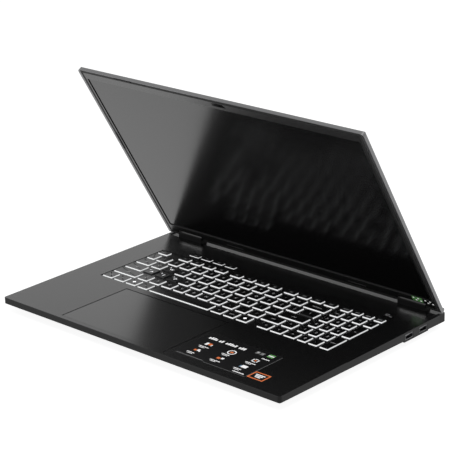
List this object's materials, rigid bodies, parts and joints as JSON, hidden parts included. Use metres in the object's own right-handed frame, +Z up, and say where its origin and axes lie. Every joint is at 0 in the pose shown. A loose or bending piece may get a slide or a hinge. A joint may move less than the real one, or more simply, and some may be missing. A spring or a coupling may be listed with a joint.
{
  "type": "laptop computer",
  "caption": "Large notebook computer with a hinged lid and display, a full keyboard with a number pad, a touchpad, side sockets, fans and rear vents.",
  "frame": {"origin": "centre of the base's footprint on the desk, at the bottom of the rubber feet", "axes": "+X to the user's right along the width, +Y from the user to the hinge, +Z up"},
  "size_m": [0.4026, 0.272, 0.2535],
  "materials": {
    "underside": "fine satin texture, near black",
    "deck": "satin, dark graphite anodised",
    "foot_rubber": "matte black",
    "screw_steel": "blackened",
    "plate_metal": "bare sheet",
    "circuit_board": "green solder mask",
    "chip": "dark package",
    "copper": "bare copper",
    "shield_metal": "satin can",
    "fan_plastic": "matte",
    "rotor_plastic": "semi matte",
    "fin_metal": "bare",
    "battery_wrap": "matte wrap",
    "speaker_plastic": "matte",
    "socket_metal": "nickel plated",
    "jack_plastic": "matte",
    "touch_glass": "etched, dark backed",
    "button_plastic": "satin",
    "hinge_steel": "satin",
    "hinge_cover": "satin",
    "lid_metal": "satin, dark grey anodised",
    "bezel_plastic": "fine matte",
    "screen_glass": "dark, switched off",
    "window_glass": "gloss black",
    "key_plastic": "matte black top over a pale translucent skirt"
  },
  "bodies": {
    "base": {"bottom_cover": "underside", "top_case": "deck", "rubber_feet": "foot_rubber", "case_screws": "screw_steel", "keyboard_plate": "plate_metal", "mainboard": "circuit_board", "processor_chips": "chip", "heat_spreaders": "copper", "heat_pipes": "copper", "memory_modules": "circuit_board", "storage_drive": "circuit_board", "wireless_card": "shield_metal", "fan_housing_left": "fan_plastic", "fan_housing_right": "fan_plastic", "fin_stacks": "fin_metal", "battery_pack": "battery_wrap", "speakers": "speaker_plastic", "side_board_left": "circuit_board", "side_board_right": "circuit_board", "usb_a_sockets": "socket_metal", "usb_c_sockets": "socket_metal", "video_socket": "socket_metal", "audio_jack": "jack_plastic", "power_inlet": "jack_plastic", "touchpad_bracket": "plate_metal", "hinge_mounts": "hinge_steel", "hinge_covers": "hinge_cover"},
    "lid": {"hinge_arms": "hinge_steel", "lid_cover": "lid_metal", "lid_gasket": "foot_rubber", "lid_bezel": "bezel_plastic", "display_panel": "screen_glass", "panel_board": "circuit_board", "bezel_bumpers": "foot_rubber", "camera_module": "circuit_board", "camera_window": "window_glass", "lid_antennas": "copper"},
    "fan_left": {"fan_rotor_left": "rotor_plastic"},
    "fan_right": {"fan_rotor_right": "rotor_plastic"},
    "touchpad": {"touchpad": "touch_glass"},
    "power_button": {"power_button": "button_plastic"},
    "keys_function": {"keys_function": "key_plastic"},
    "keys_media": {"keys_media": "key_plastic"},
    "keys_navigation": {"keys_navigation": "key_plastic"},
    "keys_number": {"keys_number": "key_plastic"},
    "key_backspace": {"key_backspace": "key_plastic"},
    "keys_upper": {"keys_upper": "key_plastic"},
    "keys_home": {"keys_home": "key_plastic"},
    "key_enter": {"key_enter": "key_plastic"},
    "keys_steer": {"keys_steer": "key_plastic"},
    "keys_lower": {"keys_lower": "key_plastic"},
    "keys_bottom": {"keys_bottom": "key_plastic"},
    "key_space": {"key_space": "key_plastic"},
    "keys_arrow": {"keys_arrow": "key_plastic"},
    "keys_numpad": {"keys_numpad": "key_plastic"},
    "key_plus": {"key_plus": "key_plastic"},
    "key_numpad_enter": {"key_numpad_enter": "key_plastic"}
  },
  "joints": [
    {"name": "lid_hinge", "type": "hinge", "parent": "base", "child": "lid", "pos_m": [0, 0.131, 0.0222], "axis": [-1, 0, 0], "range_deg": [-59.4, 70.6]},
    {"name": "fan_left_spin", "type": "hinge", "parent": "base", "child": "fan_left", "pos_m": [-0.124, 0.075, 0.0075], "axis": [0, 0, 1], "continuous": true},
    {"name": "fan_right_spin", "type": "hinge", "parent": "base", "child": "fan_right", "pos_m": [0.124, 0.075, 0.0075], "axis": [0, 0, 1], "continuous": true},
    {"name": "touchpad_press", "type": "hinge", "parent": "base", "child": "touchpad", "pos_m": [-0.0366, -0.0327, 0.0177], "axis": [1, 0, 0], "range_deg": [0, 0.35], "stiffness_Nm_per_rad": 8, "springref_deg": -0.57},
    {"name": "power_press", "type": "slide", "parent": "base", "child": "power_button", "axis": [0, 0, -1], "range_m": [0, 0.0006], "stiffness_N_per_m": 800, "springref_m": -0.0008},
    {"name": "keys_function_press", "type": "slide", "parent": "base", "child": "keys_function", "axis": [0, 0, -1], "range_m": [0, 0.0017], "stiffness_N_per_m": 300, "springref_m": -0.001},
    {"name": "keys_media_press", "type": "slide", "parent": "base", "child": "keys_media", "axis": [0, 0, -1], "range_m": [0, 0.0017], "stiffness_N_per_m": 300, "springref_m": -0.001},
    {"name": "keys_navigation_press", "type": "slide", "parent": "base", "child": "keys_navigation", "axis": [0, 0, -1], "range_m": [0, 0.0017], "stiffness_N_per_m": 300, "springref_m": -0.001},
    {"name": "keys_number_press", "type": "slide", "parent": "base", "child": "keys_number", "axis": [0, 0, -1], "range_m": [0, 0.0017], "stiffness_N_per_m": 300, "springref_m": -0.001},
    {"name": "key_backspace_press", "type": "slide", "parent": "base", "child": "key_backspace", "axis": [0, 0, -1], "range_m": [0, 0.0017], "stiffness_N_per_m": 300, "springref_m": -0.001},
    {"name": "keys_upper_press", "type": "slide", "parent": "base", "child": "keys_upper", "axis": [0, 0, -1], "range_m": [0, 0.0017], "stiffness_N_per_m": 300, "springref_m": -0.001},
    {"name": "keys_home_press", "type": "slide", "parent": "base", "child": "keys_home", "axis": [0, 0, -1], "range_m": [0, 0.0017], "stiffness_N_per_m": 300, "springref_m": -0.001},
    {"name": "key_enter_press", "type": "slide", "parent": "base", "child": "key_enter", "axis": [0, 0, -1], "range_m": [0, 0.0017], "stiffness_N_per_m": 300, "springref_m": -0.001},
    {"name": "keys_steer_press", "type": "slide", "parent": "base", "child": "keys_steer", "axis": [0, 0, -1], "range_m": [0, 0.0017], "stiffness_N_per_m": 300, "springref_m": -0.001},
    {"name": "keys_lower_press", "type": "slide", "parent": "base", "child": "keys_lower", "axis": [0, 0, -1], "range_m": [0, 0.0017], "stiffness_N_per_m": 300, "springref_m": -0.001},
    {"name": "keys_bottom_press", "type": "slide", "parent": "base", "child": "keys_bottom", "axis": [0, 0, -1], "range_m": [0, 0.0017], "stiffness_N_per_m": 300, "springref_m": -0.001},
    {"name": "key_space_press", "type": "slide", "parent": "base", "child": "key_space", "axis": [0, 0, -1], "range_m": [0, 0.0017], "stiffness_N_per_m": 300, "springref_m": -0.001},
    {"name": "keys_arrow_press", "type": "slide", "parent": "base", "child": "keys_arrow", "axis": [0, 0, -1], "range_m": [0, 0.0017], "stiffness_N_per_m": 300, "springref_m": -0.001},
    {"name": "keys_numpad_press", "type": "slide", "parent": "base", "child": "keys_numpad", "axis": [0, 0, -1], "range_m": [0, 0.0017], "stiffness_N_per_m": 300, "springref_m": -0.001},
    {"name": "key_plus_press", "type": "slide", "parent": "base", "child": "key_plus", "axis": [0, 0, -1], "range_m": [0, 0.0017], "stiffness_N_per_m": 300, "springref_m": -0.001},
    {"name": "key_numpad_enter_press", "type": "slide", "parent": "base", "child": "key_numpad_enter", "axis": [0, 0, -1], "range_m": [0, 0.0017], "stiffness_N_per_m": 300, "springref_m": -0.001}
  ]
}
